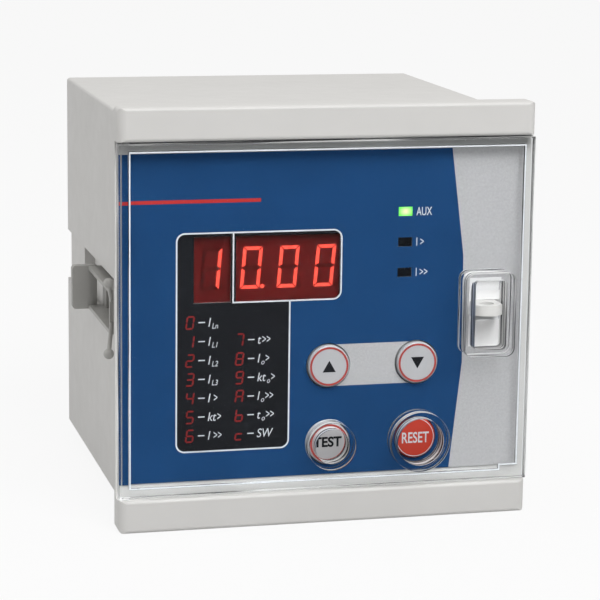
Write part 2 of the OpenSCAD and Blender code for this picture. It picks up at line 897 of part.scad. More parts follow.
// Front plate and edge walls of the cover, thicker in the lower right corner
module cover_shell() {
  span = cover_right - hinge_x;
  along_z(-cover_h / 2, cover_h / 2)
    translate([hinge_x, hinge_y])
      hinge_profile();
  difference() {
    intersection() {
      along_x(hinge_x, cover_right)
        translate([front_y + cover_d, 0])
          nose_rect(cover_d, cover_h, cover_edge_r);
      along_z(-cover_h / 2, cover_h / 2)
        translate([hinge_x, front_y + cover_d])
          rotate(90)
            nose_rect(cover_d, 2 * span, cover_edge_r);
    }
    along_y(front_y + cover_plate_t, cut)
      translate([hinge_in_x, -cover_h / 2 + cover_wall])
        square([cover_right - cover_wall - hinge_in_x, cover_h - 2 * cover_wall]);
  }
  along_y(front_y + cover_plate_t - lap, front_y + cover_d)
    translate([cover_right - cover_wall - lift_w, cover_wall - cover_h / 2 - lap])
      square([lift_w + lap, lift_h + lap]);
}

module collar_shape(x, z, bore) {
  translate([x, front_y - collar_proud, z])
    to_rear()
      cylinder(d = bore + 2 * collar_wall, h = collar_y1 - front_y + collar_proud);
}

module collar_bore(x, z, bore) {
  translate([x, front_y - collar_proud - cut, z])
    to_rear()
      cylinder(d = bore, h = flange_t + collar_proud + cut);
}

// Pocket of the boss: its upper end is hollowed out, and a rib crosses it below the tab
module seal_pocket() {
  front = front_y - boss_proud - cut;
  rib_z = tab_z - boss_z - tab_t / 2 - tab_slot_gap - pocket_rib_w;
  difference() {
    intersection() {
      along_y(front, pocket_y)
        round_rect(pocket_w, pocket_h, boss_r / 2);
      along_x(-pocket_w, pocket_w) {
        translate([front, -pocket_h / 2])
          square([pocket_y - front, pocket_h - pocket_scoop_r]);
        translate([front, 0])
          square([pocket_y - pocket_scoop_r - front, pocket_h / 2]);
        translate([pocket_y - pocket_scoop_r, pocket_h / 2 - pocket_scoop_r])
          circle(pocket_scoop_r);
      }
    }
    along_y(pocket_y - pocket_rib_h, pocket_y + cut)
      translate([-pocket_w, rib_z])
        square([2 * pocket_w, pocket_rib_w]);
  }
}

module cover() {
  color([0.8, 0.9, 1, 0.3])
    difference() {
      union() {
        cover_shell();
        collar_shape(key_right, key_low, reset_bore_d);
        collar_shape(key_left, key_low, test_bore_d);
        translate([tab_x, 0, boss_z])
          along_y(front_y - boss_proud, pocket_y + pocket_wall)
            round_rect(boss_w, boss_h, boss_r);
        for (s = [-1, 1])
          translate([hinge_x, hinge_y, s * (cover_h / 2 + (pin_end - lap) / 2)])
            cylinder(r = pin_r, h = pin_end + lap, center = true);
      }
      collar_bore(key_right, key_low, reset_bore_d);
      collar_bore(key_left, key_low, test_bore_d);
      translate([tab_x, 0, boss_z])
        seal_pocket();
      translate([tab_x, 0, tab_z])
        along_y(front_y, cut)
          square([tab_w + 2 * tab_slot_gap, tab_t + 2 * tab_slot_gap], center = true);
    }
}

module key() {
  rim_r = key_hole_d / 2 + key_rim;
  cap_r = key_d / 2;
  stem_y = switch_y + stem_in;
  to_rear()
    rotate_extrude() {
      translate([0, key_top_y])
        square([cap_r - key_edge_r, rim_y - key_top_y + lap]);
      translate([0, key_top_y + key_edge_r])
        square([cap_r, rim_y - key_top_y - key_edge_r + lap]);
      intersection() {
        translate([cap_r - key_edge_r, key_top_y + key_edge_r])
          circle(key_edge_r);
        translate([0, key_top_y])
          square([cap_r, key_edge_r + lap]);
      }
      translate([0, rim_y])
        square([rim_r, key_rim_t]);
      translate([0, rim_y])
        square([stem_r, stem_y - rim_y]);
    }
}

module up_key() {
  color("silver")
    translate([key_left, 0, keys_z])
      key();
}

module down_key() {
  color("silver")
    translate([key_right, 0, keys_z])
      key();
}

module test_key() {
  color("silver")
    translate([key_left, 0, key_low])
      key();
}

module reset_key() {
  color("tomato")
    translate([key_right, 0, key_low])
      key();
}

module key_switches() {
  color("black")
    at_keys()
      difference() {
        along_y(switch_y, board_y)
          square([switch_w, switch_w], center = true);
        translate([0, switch_y - cut, 0])
          to_rear()
            cylinder(r = stem_r + stem_clear, h = cut + stem_in + key_travel + lap);
      }
}

module display_board() {
  color("darkgreen")
    difference() {
      along_y(board_y, board_y + board_t)
        square([board_w, board_w], center = true);
      at_posts()
        translate([0, board_y - cut, 0])
          to_rear()
            cylinder(r = screw_r + screw_gap, h = board_t + 2 * cut);
    }
}

module board_screws() {
  head_y = board_y + board_t;
  color("silver")
    at_posts()
      difference() {
        union() {
          translate([0, head_y - board_t - screw_grip, 0])
            to_rear()
              cylinder(r = screw_r, h = board_t + screw_grip + lap);
          translate([0, head_y, 0])
            to_rear()
              cylinder(r = screw_head_r, h = screw_head_h);
        }
        along_y(head_y + screw_head_h / 2, head_y + screw_head_h + cut)
          square([3 * screw_head_r, screw_r / 2], center = true);
      }
}

module processor_chip() {
  y0 = board_y + board_t;
  color("black") {
    along_y(y0, y0 + chip_h)
      square([chip_w, chip_w], center = true);
    for (a = [0 : 90 : 270])
      rotate([0, a, 0])
        for (i = [-4 : 4])
          translate([i * lead_pitch, 0, chip_w / 2])
            along_y(y0, y0 + lead_t)
              square([lead_t, 2 * lead_l], center = true);
  }
}

module deck_board(side) {
  color("darkgreen")
    translate([0, 0, side * deck_z])
      along_z(-board_t / 2, board_t / 2)
        translate([-deck_w / 2, deck_y0])
          square([deck_w, deck_y1 - deck_y0]);
}

module power_board() {
  deck_board(1);
}

module main_board() {
  deck_board(-1);
}

module board_connectors() {
  color("ivory")
    for (s = [-1, 1])
      translate([0, 0, s * (deck_face - plug_h / 2)])
        along_y(board_y + board_t, deck_y0 + plug_l)
          square([plug_w, plug_h], center = true);
}

module supply_transformer() {
  color("darkorange")
    translate([core_x, deck_y0 + core_y, deck_face - core_h / 2]) {
      cube([core_w, core_l, core_h], center = true);
      cube([coil_w, coil_l, coil_h], center = true);
      translate([0, 0, (core_h - foot_h) / 2])
        cube([coil_w, coil_l, foot_h], center = true);
    }
}

module smoothing_capacitors() {
  color("midnightblue")
    for (i = [0, 1])
      translate([can_x + i * can_pitch, deck_y0 + can_y, deck_face - can_h])
        cylinder(r = can_r, h = can_h);
}

module output_relays() {
  color("orange")
    for (i = [0 : 2])
      translate([relay_x + i * relay_pitch, deck_y1 - relay_l / 2 - rail_gap, deck_face - relay_h / 2])
        cube([relay_w, relay_l, relay_h], center = true);
}

module current_transformers() {
  color("saddlebrown")
    for (i = [0 : 3])
      translate([(i - 1.5) * ring_pitch, deck_y1 - ring_y, -deck_face]) {
        translate([0, 0, ring_base_h + ring_r])
          to_rear()
            difference() {
              cylinder(r = ring_r, h = ring_w, center = true);
              cylinder(r = ring_hole_r, h = ring_w + 2 * cut, center = true);
            }
        translate([0, 0, (ring_base_h + ring_r - ring_hole_r) / 2])
          cube([ring_r, ring_w, ring_base_h + ring_r - ring_hole_r], center = true);
      }
}

// Places the parts of the upper block, or mirrored those of the lower block
module block_side(side) {
  mirror([0, 0, side < 0 ? 1 : 0])
    children();
}

module at_ways() {
  for (i = [0 : ways - 1])
    translate([(i - (ways - 1) / 2) * way_pitch, 0, 0])
      children();
}

module terminal_block(side) {
  color("seagreen")
    block_side(side)
      difference() {
        translate([0, 0, block_z0 + block_h / 2])
          along_y(block_y0, block_y1)
            square([block_w, block_h], center = true);
        at_ways() {
          translate([0, 0, entry_z])
            along_y(block_y1 - entry_d, block_y1 + cut)
              square([entry_w, entry_w], center = true);
          translate([0, block_y1 - access_d_in - screw_head_h, access_z])
            to_rear()
              cylinder(d = access_d, h = access_d_in + screw_head_h + cut);
        }
        for (i = [1 : ways - 1])
          translate([(i - ways / 2) * way_pitch, 0, block_z0 + block_h / 2])
            along_y(block_y1 - groove_d, block_y1 + cut)
              square([groove_w, block_h + 2 * cut], center = true);
      }
}

module terminal_block_upper() {
  terminal_block(1);
}

module terminal_block_lower() {
  terminal_block(-1);
}

// Metal clamp at the bottom of each wire entry
module terminal_cages(side) {
  color("goldenrod")
    block_side(side)
      at_ways()
        translate([0, 0, entry_z])
          difference() {
            along_y(block_y1 - entry_d, block_y1 - cage_sink)
              square([entry_w, entry_w], center = true);
            along_y(block_y1 - entry_d + cage_wall, block_y1)
              square([entry_w - 2 * cage_wall, entry_w - 2 * cage_wall], center = true);
          }
}

module terminal_cages_upper() {
  terminal_cages(1);
}

module terminal_cages_lower() {
  terminal_cages(-1);
}

module terminal_screws(side) {
  head_r = access_d / 2 - access_gap;
  slot_w = head_r / 3;
  head_y = block_y1 - access_d_in - screw_head_h;
  color("silver")
    block_side(side)
      at_ways()
        translate([0, 0, access_z])
          difference() {
            translate([0, head_y, 0])
              to_rear()
                cylinder(r = head_r, h = screw_head_h);
            along_y(head_y + screw_head_h / 2, head_y + screw_head_h + cut)
              square([slot_w, 3 * head_r], center = true);
          }
}

module terminal_screws_upper() {
  terminal_screws(1);
}

module terminal_screws_lower() {
  terminal_screws(-1);
}

// Round spring leg from the cross wall to a bead
module clamp_leg(side) {
  root = [leg_x, clamp_y0 + clamp_wall / 2, side * clamp_h / 4];
  tip = [side_x - bead_proud, bead_y, bead_rise + side * bead_span / 2];
  run = tip - root;
  translate(root)
    rotate([0, acos(run[2] / norm(run)), atan2(run[1], run[0])])
      cylinder(d = leg_d, h = norm(run));
  translate(tip)
    sphere(bead_r);
}

module clamp() {
  lug_x = clamp_in_x - undercut_t + 2 * clamp_gap;
  lug_reach = channel_h / 2 + undercut_h - clamp_gap;
  thumb_in_x = side_x + channel_d - clamp_gap;
  color("darkgray")
    translate([0, 0, clamp_z]) {
      for (s = [-1, 1])
        translate([0, 0, s * (clamp_h - clamp_wall) / 2])
          along_z(-clamp_wall / 2, clamp_wall / 2)
            translate([clamp_out_x, clamp_y0])
              square([clamp_in_x - clamp_out_x, clamp_l + lap]);
      along_z(-clamp_h / 2, clamp_h / 2)
        translate([clamp_out_x, clamp_y0])
          square([clamp_in_x - clamp_out_x, clamp_wall]);
      for (y = [clamp_y0, clamp_y1 - lug_l])
        along_z(channel_rise - lug_reach, channel_rise + lug_reach)
          translate([lug_x, y])
            square([clamp_in_x - lug_x, lug_l]);
      along_y(clamp_y1, clamp_y1 + thumb_t)
        intersection() {
          translate([side_x, 0])
            round_rect(2 * thumb_proud, clamp_h + lap, clamp_wall);
          translate([side_x - thumb_proud - cut, -clamp_h])
            square([thumb_in_x - side_x + thumb_proud + cut, 2 * clamp_h]);
        }
      clamp_leg(1);
      clamp_leg(-1);
    }
}

module left_clamp() {
  clamp();
}

module right_clamp() {
  mirror([1, 0, 0])
    clamp();
}

front_bezel();
rear_case();
fascia_overlay();
display_filter();
digit_modules();
lit_segments();
unlit_segments();
aux_led();
start_led();
trip_led();
seal_tab();
cover();
up_key();
down_key();
test_key();
reset_key();
key_switches();
display_board();
board_screws();
processor_chip();
power_board();
main_board();
board_connectors();
supply_transformer();
smoothing_capacitors();
output_relays();
current_transformers();
terminal_block_upper();
terminal_block_lower();
terminal_cages_upper();
terminal_cages_lower();
terminal_screws_upper();
terminal_screws_lower();
left_clamp();
right_clamp();
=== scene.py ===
"""Looks of the panel-mounted protection relay: materials, printed fascia, studio and camera."""

import math

import bmesh
import bpy
from mathutils import Matrix, Vector


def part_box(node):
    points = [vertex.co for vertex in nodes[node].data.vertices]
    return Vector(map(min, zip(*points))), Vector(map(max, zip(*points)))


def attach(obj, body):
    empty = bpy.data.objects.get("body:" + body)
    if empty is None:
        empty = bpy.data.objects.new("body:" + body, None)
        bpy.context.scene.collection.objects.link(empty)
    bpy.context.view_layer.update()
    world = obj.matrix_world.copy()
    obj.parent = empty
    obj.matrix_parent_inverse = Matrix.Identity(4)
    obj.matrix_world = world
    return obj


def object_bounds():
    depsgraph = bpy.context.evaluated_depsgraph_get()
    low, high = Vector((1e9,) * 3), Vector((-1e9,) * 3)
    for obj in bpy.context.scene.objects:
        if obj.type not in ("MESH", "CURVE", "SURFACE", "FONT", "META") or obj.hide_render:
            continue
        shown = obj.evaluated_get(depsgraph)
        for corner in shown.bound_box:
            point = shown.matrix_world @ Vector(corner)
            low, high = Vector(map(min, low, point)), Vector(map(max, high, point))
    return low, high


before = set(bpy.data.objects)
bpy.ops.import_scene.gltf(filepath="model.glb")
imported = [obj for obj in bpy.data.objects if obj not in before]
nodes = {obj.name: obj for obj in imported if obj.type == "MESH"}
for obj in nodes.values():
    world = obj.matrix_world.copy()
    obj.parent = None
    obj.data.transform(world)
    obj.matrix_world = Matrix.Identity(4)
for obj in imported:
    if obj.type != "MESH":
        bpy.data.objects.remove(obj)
cad_low, cad_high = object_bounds()

# Sizes are in millimetres, as in the part's source; MM turns them into the frame's metres.
MM = 0.001
INK = 0.02  # thickness of one layer of print
ARC_STEPS = 12  # straight pieces in a quarter circle
SQUARE_ON = 0.999  # least part of its normal along the depth for a face that counts as square on
SAME_DEPTH = 1e-6  # metres between points that count as level

# Camera of the photograph, seen from the centre of the front
IMAGE_PX = 600
FOCAL_PX = 2366.4
SENSOR = 36.0
AZIMUTH, ELEVATION, ROLL = -14.195, 11.201, 0.737
CAMERA_DISTANCE = 532.7
CAMERA_RIGHT, CAMERA_UP = -6.572, 3.925
NEAREST_SEEN = 10.0


def srgb(red, green, blue):
    """A colour given in 0 to 255 as Blender's linear colour."""

    def linear(value):
        value = value / 255
        return value / 12.92 if value <= 0.04045 else ((value + 0.055) / 1.055) ** 2.4

    return linear(red), linear(green), linear(blue), 1.0


# Colours of the pieces in the photograph and of the studio
CASE_GREY = srgb(204, 203, 201)
CLAMP_GREY = srgb(166, 165, 162)
SILVER = srgb(172, 171, 172)
BLUE = srgb(27, 63, 105)
BLACK_INK = srgb(30, 31, 34)
WHITE_INK = srgb(208, 211, 215)
RED_INK = srgb(172, 51, 49)
LEGEND_RED = srgb(128, 40, 40)
KEY_GREY = srgb(172, 171, 173)
RING_RED = srgb(161, 69, 65)
RESET_RED = srgb(189, 52, 31)
FILTER_RED = srgb(222, 120, 112)
DIGIT_RED = srgb(255, 170, 150)
DIGIT_FACE = srgb(110, 61, 67)
DIGIT_DARK = srgb(74, 36, 40)
LED_CORE = srgb(246, 255, 190)
LED_GREEN = srgb(86, 206, 70)
LED_DARK = srgb(14, 16, 19)
TAB_WHITE = srgb(220, 220, 218)
CLEAR = srgb(250, 252, 253)
SOFT_GLOSS = srgb(12, 12, 12)  # holds back the cover's reflection where it is seen head on
# Painted reflection: the dark and white lines on the cover's edges, the white one also in its pocket
REFLECTION_DARK = srgb(66, 66, 68)
REFLECTION_WHITE = srgb(250, 250, 250)
# Painted highlight: white of the bead along the cover's inner corner
HIGHLIGHT_BEAD_WHITE = srgb(222, 224, 227)
FLOOR_WHITE = srgb(205, 205, 205)
ROOM_WHITE = srgb(250, 249, 247)
BACKDROP_WHITE = srgb(252, 252, 252)

# Colours of the pieces inside and at the rear
BLACK_PLASTIC = srgb(34, 34, 36)
BOARD_GREEN = srgb(28, 84, 52)
STEEL = srgb(184, 186, 188)
CONNECTOR_WHITE = srgb(226, 222, 206)
CORE_BROWN = srgb(120, 112, 100)
SLEEVE_BLUE = srgb(26, 34, 66)
RELAY_ORANGE = srgb(222, 140, 44)
WINDING_COPPER = srgb(150, 86, 46)
TERMINAL_GREEN = srgb(46, 122, 74)
BRASS = srgb(206, 172, 96)


# Shapes read from the frame


def centre_of(node):
    """Middle of a node across and up, in millimetres."""
    low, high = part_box(node)
    return (low.x + high.x) / 2 / MM, (low.z + high.z) / 2 / MM


def widest_face(node, way):
    """Depth of a node's largest flat face that looks to the front (-1) or to the rear (1)."""
    areas = {}
    for face in nodes[node].data.polygons:
        if way * face.normal.y > SQUARE_ON:
            depth = round(face.center.y, 6)
            areas[depth] = areas.get(depth, 0) + face.area
    return max(areas, key=areas.get)


def outlines_at(node, depth):
    """Edges of a node's flat face at a depth, as closed outlines with the outer one first."""
    mesh = nodes[node].data
    points = [(round(v.co.x / MM, 3), round(v.co.z / MM, 3)) for v in mesh.vertices]
    edges = set()
    for face in mesh.polygons:
        if all(abs(mesh.vertices[v].co.y - depth) < SAME_DEPTH for v in face.vertices):
            corners = [points[v] for v in face.vertices]
            edges.update(zip(corners, corners[1:] + corners[:1]))
    following = {a: b for a, b in edges if (b, a) not in edges}
    outlines = []
    while following:
        start, here = following.popitem()
        outline = [start]
        while here != start:
            outline.append(here)
            here = following.pop(here)
        outlines.append(outline)
    return sorted(outlines, key=lambda o: min(x for x, _ in o))


# Shader nodes

NOISE_SPAN = (0.3, 0.7)  # part of the noise's range that is put to use
FINE_DETAIL = 4


def new_material(name):
    material = bpy.data.materials.new(name)
    material.use_nodes = True
    tree = material.node_tree
    return material, tree, tree.nodes["Principled BSDF"]


def coordinates(tree, kind):
    return tree.nodes.new("ShaderNodeTexCoord").outputs[kind]


def split(tree, kind):
    """The three parts of the coordinates of the given kind."""
    parts = tree.nodes.new("ShaderNodeSeparateXYZ")
    tree.links.new(coordinates(tree, kind), parts.inputs[0])
    return parts.outputs


def calculate(tree, operation, *values):
    """Result of a Math node on sockets or numbers."""
    node = tree.nodes.new("ShaderNodeMath")
    node.operation = operation
    for socket, value in zip(node.inputs, values):
        if isinstance(value, (int, float)):
            socket.default_value = value
        else:
            tree.links.new(value, socket)
    return node.outputs[0]


def vector_step(tree, operation, source, vector=(0, 0, 0)):
    """Outputs of a Vector Math node on a socket and a fixed vector."""
    node = tree.nodes.new("ShaderNodeVectorMath")
    node.operation = operation
    node.inputs[1].default_value = vector
    tree.links.new(source, node.inputs[0])
    return node.outputs


def spread(tree, source, start, end, low, high):
    """Value that runs from low to high while the source runs from start to end."""
    node = tree.nodes.new("ShaderNodeMapRange")
    for limit, value in (("From Min", start), ("From Max", end), ("To Min", low), ("To Max", high)):
        node.inputs[limit].default_value = value
    tree.links.new(source, node.inputs["Value"])
    return node.outputs["Result"]


def ramp(tree, source, colours, stops):
    """Colour that runs from the first one to the second between two stops."""
    node = tree.nodes.new("ShaderNodeValToRGB")
    for element, colour, stop in zip(node.color_ramp.elements, colours, stops):
        element.color = colour
        element.position = stop
    tree.links.new(source, node.inputs["Fac"])
    return node.outputs["Color"]


def blend(tree, share, first, second):
    """Shader that turns from the first into the second as the share grows from 0 to 1."""
    node = tree.nodes.new("ShaderNodeMixShader")
    for socket, source in zip(node.inputs, (share, first, second)):
        tree.links.new(source, socket)
    return node.outputs[0]


def noise_on(tree, place, size):
    """Noise node with grains of the given size at the given place."""
    texture = tree.nodes.new("ShaderNodeTexNoise")
    texture.inputs["Scale"].default_value = 1 / (size * MM)
    tree.links.new(place, texture.inputs["Vector"])
    return texture


def noise(tree, size, detail=2.0):
    """Noise with grains of the given size, fixed to the piece."""
    texture = noise_on(tree, coordinates(tree, "Object"), size)
    texture.inputs["Detail"].default_value = detail
    return texture.outputs["Fac"]


def vary_colour(tree, source, colour, contrast, socket):
    """Lets the colour drift about the given one by the given share."""
    shades = [[min(1.0, c * share) for c in colour[:3]] + [1.0] for share in (1 - contrast, 1 + contrast)]
    tree.links.new(ramp(tree, source, shades, NOISE_SPAN), socket)


def vary_value(tree, source, low, high, socket):
    """Lets a value drift between two limits."""
    tree.links.new(spread(tree, source, *NOISE_SPAN, low, high), socket)


def roughen(tree, source, height, shader):
    """Raises and lowers the surface by the given height."""
    relief = tree.nodes.new("ShaderNodeBump")
    relief.inputs["Distance"].default_value = height * MM
    relief.inputs["Strength"].default_value = 1.0
    tree.links.new(source, relief.inputs["Height"])
    tree.links.new(relief.outputs["Normal"], shader.inputs["Normal"])


# Opaque and glowing materials

GLOSS_DRIFT = 0.06
GLOSS_PATCHES = 3  # patches of gloss across one patch of colour

DIGIT_GLOW, DIGIT_PATCH, DIGIT_DRIFT, DIGIT_ROUGHNESS = 1.15, 1.5, 0.12, 0.4
LED_GLOW, LED_ROUGHNESS = 1.0, 0.3
# Distance from the lens's middle, as a share of its width, where its core ends and its rim begins
LED_STOPS = (0.05, 0.36)


def surface(name, colour, roughness, grain, relief, contrast=0.03, patch=12.0, metallic=0.0, shine=0.5):
    """A moulded, printed or rolled surface: fine grain, patchy gloss and a slight drift of colour."""
    material, tree, shader = new_material(name)
    shader.inputs["Metallic"].default_value = metallic
    shader.inputs["Specular IOR Level"].default_value = shine
    vary_colour(tree, noise(tree, patch), colour, contrast, shader.inputs["Base Color"])
    gloss = noise(tree, patch / GLOSS_PATCHES, FINE_DETAIL)
    vary_value(tree, gloss, roughness - GLOSS_DRIFT, roughness + GLOSS_DRIFT, shader.inputs["Roughness"])
    roughen(tree, noise(tree, grain), relief, shader)
    return material


def lit_digits(name):
    """Lit segments whose glow is a little uneven."""
    material, tree, shader = new_material(name)
    shader.inputs["Roughness"].default_value = DIGIT_ROUGHNESS
    shader.inputs["Base Color"].default_value = DIGIT_RED
    shader.inputs["Emission Strength"].default_value = DIGIT_GLOW
    vary_colour(tree, noise(tree, DIGIT_PATCH), DIGIT_RED, DIGIT_DRIFT, shader.inputs["Emission Color"])
    return material


def lit_lens(name):
    """A lit indicator, brightest in the middle of its front."""
    material, tree, shader = new_material(name)
    shader.inputs["Roughness"].default_value = LED_ROUGHNESS
    shader.inputs["Base Color"].default_value = LED_GREEN
    shader.inputs["Emission Strength"].default_value = LED_GLOW
    centred = vector_step(tree, "SUBTRACT", coordinates(tree, "Generated"), (0.5, 0.5, 0.5))
    flat = vector_step(tree, "MULTIPLY", centred["Vector"], (1, 0, 1))
    reach = vector_step(tree, "LENGTH", flat["Vector"])
    glow = ramp(tree, reach["Value"], (LED_CORE, LED_GREEN), LED_STOPS)
    tree.links.new(glow, shader.inputs["Emission Color"])
    return material


# Clear materials

LIGHT_PASSED = (0.985, 0.985, 0.985, 1)  # share of the lamps' light that gets through one face
COVER_IOR, COVER_PATCH, COVER_ROUGHNESS = 1.42, 9.0, 0.03
FILTER_IOR, FILTER_PATCH, FILTER_DRIFT, FILTER_ROUGHNESS = 1.3, 6.0, 0.08, 0.32

# Greatest share of the diffuse haze on the cover's edges and in its pocket, which carries painted
# reflection
EDGE_REFLECTION_HAZE, POCKET_REFLECTION_HAZE = 0.7, 0.7
# How squarely a face looks along the depth where the haze starts, and where it is full
HAZE_STARTS, HAZE_FULL = 0.9, 0.3
# Depth at which the pocket's painted reflection starts
REFLECTION_HAZE_FROM = 1.9  # behind the plate's front; the rib in the pocket stays clear
BAND_W = 0.9
BAND_STRETCH = (0.03, 1.0, 0.03)
BAND_STOPS = (0.44, 0.56)


def let_light_through(material, tree, shader):
    """Lets the lamps reach what a clear piece covers."""
    open_side = tree.nodes.new("ShaderNodeBsdfTransparent")
    open_side.inputs["Color"].default_value = LIGHT_PASSED
    path = tree.nodes.new("ShaderNodeLightPath")
    choice = blend(tree, path.outputs["Is Shadow Ray"], shader, open_side.outputs[0])
    tree.links.new(choice, tree.nodes["Material Output"].inputs["Surface"])
    return material


def painted_reflection_bands(tree):
    """Noise in bands across the depth: painted dark and white reflection lines on the cover's edges."""
    stretched = vector_step(tree, "MULTIPLY", coordinates(tree, "Object"), BAND_STRETCH)
    return noise_on(tree, stretched["Vector"], BAND_W).outputs["Fac"]


def inside(tree, spot, limits):
    """1 where a place lies between the limits on the named axes, otherwise 0."""
    result = 1.0
    for axis, (low, high) in limits.items():
        within = calculate(tree, "COMPARE", spot[axis], (low + high) / 2, (high - low) / 2)
        result = calculate(tree, "MULTIPLY", within, result)
    return result


def pocket_limits():
    """Space of the pocket in the cover's boss, from behind the front plate to the rear."""
    depths = [v.co.y for v in nodes["cover"].data.vertices]
    across, up = zip(*outlines_at("cover", min(depths))[1])
    return {
        "X": (min(across) * MM, max(across) * MM),
        "Z": (min(up) * MM, max(up) * MM),
        "Y": (widest_face("cover", -1) + REFLECTION_HAZE_FROM * MM, max(depths)),
    }


def cover_reflection_haze(tree):
    """Diffuse haze with painted reflection on the cover's edges and in its pocket: its share and its
    shader.
    """
    squareness = calculate(tree, "ABSOLUTE", split(tree, "Normal")["Y"])
    edge = spread(tree, squareness, HAZE_STARTS, HAZE_FULL, 0.0, EDGE_REFLECTION_HAZE)
    pocket = inside(tree, split(tree, "Object"), pocket_limits())
    share = calculate(tree, "MAXIMUM", edge, calculate(tree, "MULTIPLY", pocket, POCKET_REFLECTION_HAZE))
    # Painted reflection: dark and white bands on the edges, white in the pocket
    tone = calculate(tree, "ADD", painted_reflection_bands(tree), pocket)
    reflection_haze = tree.nodes.new("ShaderNodeBsdfDiffuse")
    tree.links.new(ramp(tree, tone, (REFLECTION_DARK, REFLECTION_WHITE), BAND_STOPS), reflection_haze.inputs["Color"])
    return share, reflection_haze.outputs[0]


def clear_plastic(name):
    """Clear moulding whose edges and pocket carry a diffuse haze with painted reflection."""
    material, tree, shader = new_material(name)
    shader.inputs["Base Color"].default_value = CLEAR
    shader.inputs["Transmission Weight"].default_value = 1.0
    shader.inputs["IOR"].default_value = COVER_IOR
    shader.inputs["Specular Tint"].default_value = SOFT_GLOSS
    gloss = noise(tree, COVER_PATCH, FINE_DETAIL)
    vary_value(tree, gloss, 0.0, COVER_ROUGHNESS, shader.inputs["Roughness"])
    share, reflection_haze = cover_reflection_haze(tree)
    return let_light_through(material, tree, blend(tree, share, shader.outputs[0], reflection_haze))


def tinted_filter(name):
    """Red filter, a little cloudy, through which the digits glow."""
    material, tree, shader = new_material(name)
    vary_colour(tree, noise(tree, FILTER_PATCH), FILTER_RED, FILTER_DRIFT, shader.inputs["Base Color"])
    shader.inputs["Transmission Weight"].default_value = 1.0
    shader.inputs["IOR"].default_value = FILTER_IOR
    shader.inputs["Roughness"].default_value = FILTER_ROUGHNESS
    return let_light_through(material, tree, shader.outputs[0])


# The relay's materials; plastics and inks are listed with their colour and roughness

PLASTIC = dict(grain=0.35, relief=0.006, contrast=0.015)
PLASTICS = {
    "case_grey": (CASE_GREY, 0.46),
    "clamp_grey": (CLAMP_GREY, 0.42),
    "key_grey": (KEY_GREY, 0.4),
    "reset_red": (RESET_RED, 0.4),
    "tab_white": (TAB_WHITE, 0.35),
    "black_plastic": (BLACK_PLASTIC, 0.4),
    "connector_white": (CONNECTOR_WHITE, 0.45),
    "relay_case": (RELAY_ORANGE, 0.35),
    "terminal_green": (TERMINAL_GREEN, 0.45),
}
PRINT = dict(grain=0.25, relief=0.0006, contrast=0.05, shine=0.05)
INKS = {
    "blue_ink": (BLUE, 0.5),
    "black_ink": (BLACK_INK, 0.45),
    "white_ink": (WHITE_INK, 0.5),
    "red_ink": (RED_INK, 0.5),
    "ring_red": (RING_RED, 0.5),
    "legend_red": (LEGEND_RED, 0.5),
    "digit_face": (DIGIT_FACE, 0.5),
    "segment_dark": (DIGIT_DARK, 0.4),
}
METAL = dict(grain=0.2, relief=0.004, metallic=1.0)


def make_materials():
    plastics = {name: surface(name, *finish, **PLASTIC) for name, finish in PLASTICS.items()}
    inks = {name: surface(name, *finish, **PRINT) for name, finish in INKS.items()}
    return plastics | inks | {
        "silver_film": surface("silver_film", SILVER, 0.42, grain=0.18, relief=0.004,
                               contrast=0.06, patch=0.5, shine=0.3),
        "filter_red": tinted_filter("filter_red"),
        "segment_lit": lit_digits("segment_lit"),
        "led_lit": lit_lens("led_lit"),
        "led_dark": surface("led_dark", LED_DARK, 0.3, grain=0.3, relief=0.004, shine=0.1),
        "clear_cover": clear_plastic("clear_cover"),
        # Painted highlight along the cover's inner corner
        "painted_highlight_white": surface("painted_highlight_white", HIGHLIGHT_BEAD_WHITE, 0.3, grain=0.3, relief=0.002, contrast=0.02),
        "board_green": surface("board_green", BOARD_GREEN, 0.35, grain=0.6, relief=0.01, contrast=0.08),
        "steel": surface("steel", STEEL, 0.35, **METAL),
        "brass": surface("brass", BRASS, 0.35, **METAL),
        "core_steel": surface("core_steel", CORE_BROWN, 0.4, grain=0.5, relief=0.02, metallic=0.6),
        "capacitor_sleeve": surface("capacitor_sleeve", SLEEVE_BLUE, 0.3, grain=1.5, relief=0.01),
        "winding": surface("winding", WINDING_COPPER, 0.3, grain=0.4, relief=0.04),
    }


NODE_MATERIALS = {
    "front_bezel": "case_grey", "rear_case": "case_grey", "fascia_overlay": "silver_film",
    "display_filter": "filter_red", "digit_modules": "digit_face", "lit_segments": "segment_lit",
    "unlit_segments": "segment_dark", "aux_led": "led_lit", "start_led": "led_dark",
    "trip_led": "led_dark", "seal_tab": "tab_white", "cover": "clear_cover", "up_key": "key_grey",
    "down_key": "key_grey", "test_key": "key_grey", "reset_key": "reset_red",
    "key_switches": "black_plastic", "display_board": "board_green", "board_screws": "steel",
    "processor_chip": "black_plastic", "power_board": "board_green", "main_board": "board_green",
    "board_connectors": "connector_white", "supply_transformer": "core_steel",
    "smoothing_capacitors": "capacitor_sleeve", "output_relays": "relay_case",
    "current_transformers": "winding", "terminal_block_upper": "terminal_green",
    "terminal_block_lower": "terminal_green", "terminal_cages_upper": "brass",
    "terminal_cages_lower": "brass", "terminal_screws_upper": "steel",
    "terminal_screws_lower": "steel", "left_clamp": "clamp_grey", "right_clamp": "clamp_grey",
}


def dress_nodes(materials):
    for name, finish in NODE_MATERIALS.items():
        mesh = nodes[name].data
        mesh.materials.clear()
        mesh.materials.append(materials[finish])


# Outlines, as points across (X) and up (Z) in millimetres

SHARPEST_MITRE = 0.3  # keeps the corner of a line from running out too far
SEGMENT_GAP = 0.125  # by which a bar's tip stays short of its corner, as a share of the bar's width


